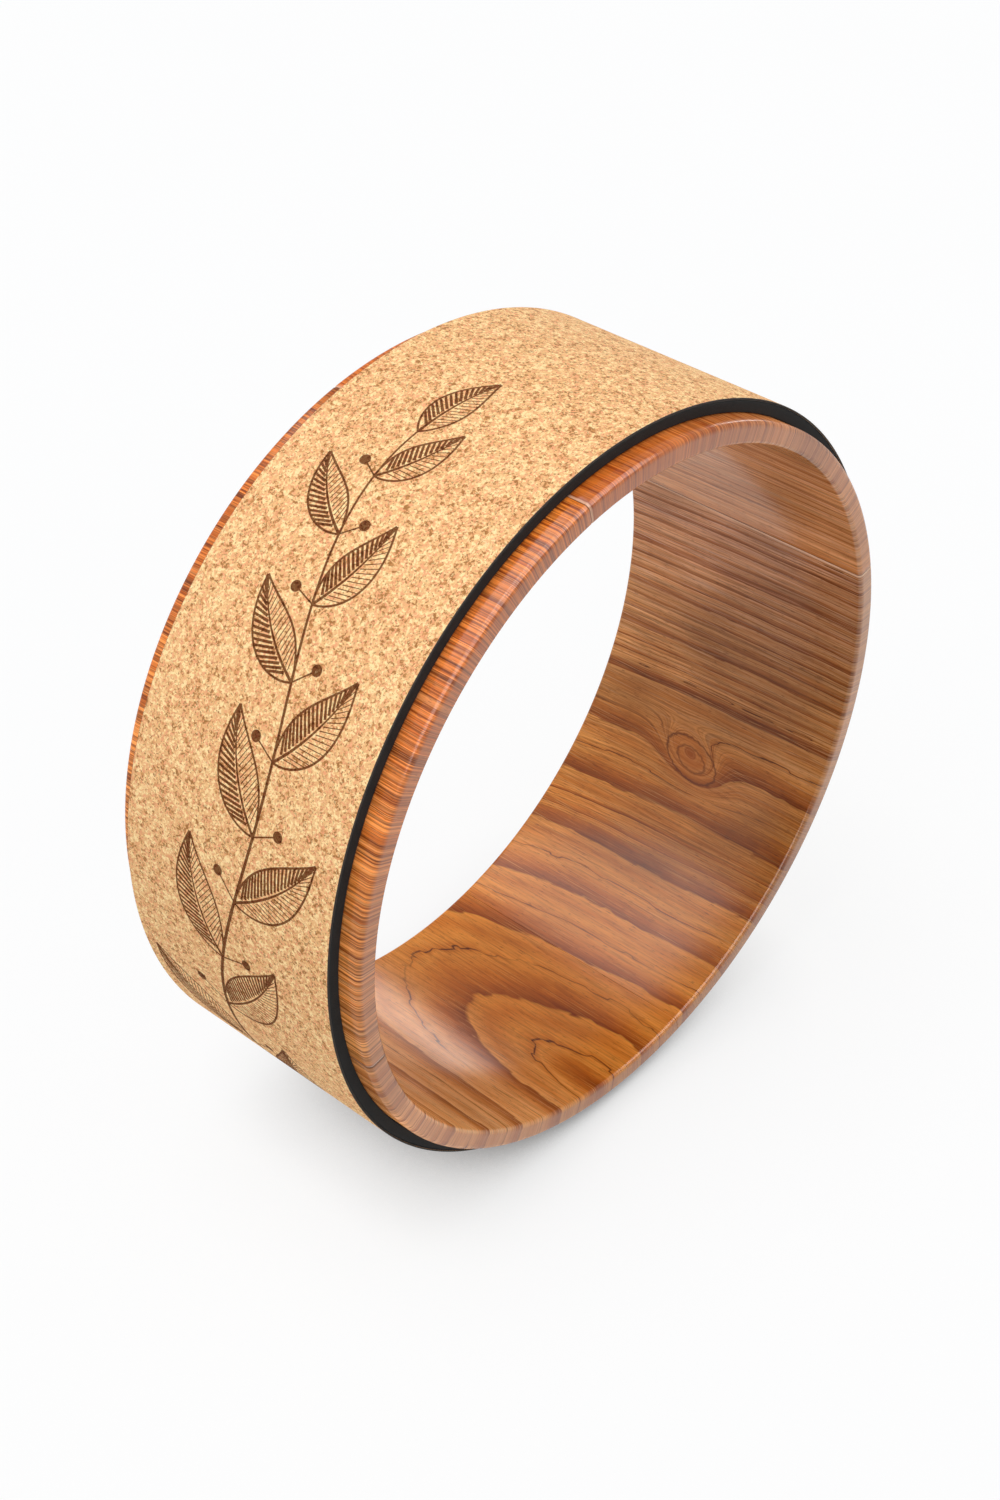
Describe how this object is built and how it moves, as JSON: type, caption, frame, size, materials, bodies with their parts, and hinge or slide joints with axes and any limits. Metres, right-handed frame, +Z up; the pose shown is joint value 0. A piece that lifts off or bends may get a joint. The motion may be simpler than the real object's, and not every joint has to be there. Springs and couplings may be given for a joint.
{
  "type": "yoga wheel",
  "caption": "Yoga wheel that stands on its tread: a rigid hoop lined with glossy wood-grain foil, wrapped in a black foam pad under a patterned cork cover, for back stretches and balance.",
  "frame": {"origin": "the wheel's centre, on its axis halfway between the rims", "axes": "+Z up from the floor that the tread stands on, +Y along the wheel's axis towards the far rim, +X along the way it rolls"},
  "size_m": [0.33, 0.128, 0.33],
  "materials": {
    "hoop_plastic": "moulded ABS, matte",
    "grain_foil": "printed wood grain under a clear gloss coat",
    "adhesive": "clear adhesive film",
    "foam": "closed-cell foam with a fine matte skin",
    "cork": "sanded cork agglomerate, matte"
  },
  "bodies": {
    "root": {"hoop": "hoop_plastic", "grain_foil_1": "grain_foil", "grain_foil_2": "grain_foil", "grain_foil_3": "grain_foil", "grain_foil_4": "grain_foil", "pad_tape": "adhesive", "foam_pad": "foam", "cork_glue": "adhesive", "cork_cover": "cork"}
  },
  "joints": []
}
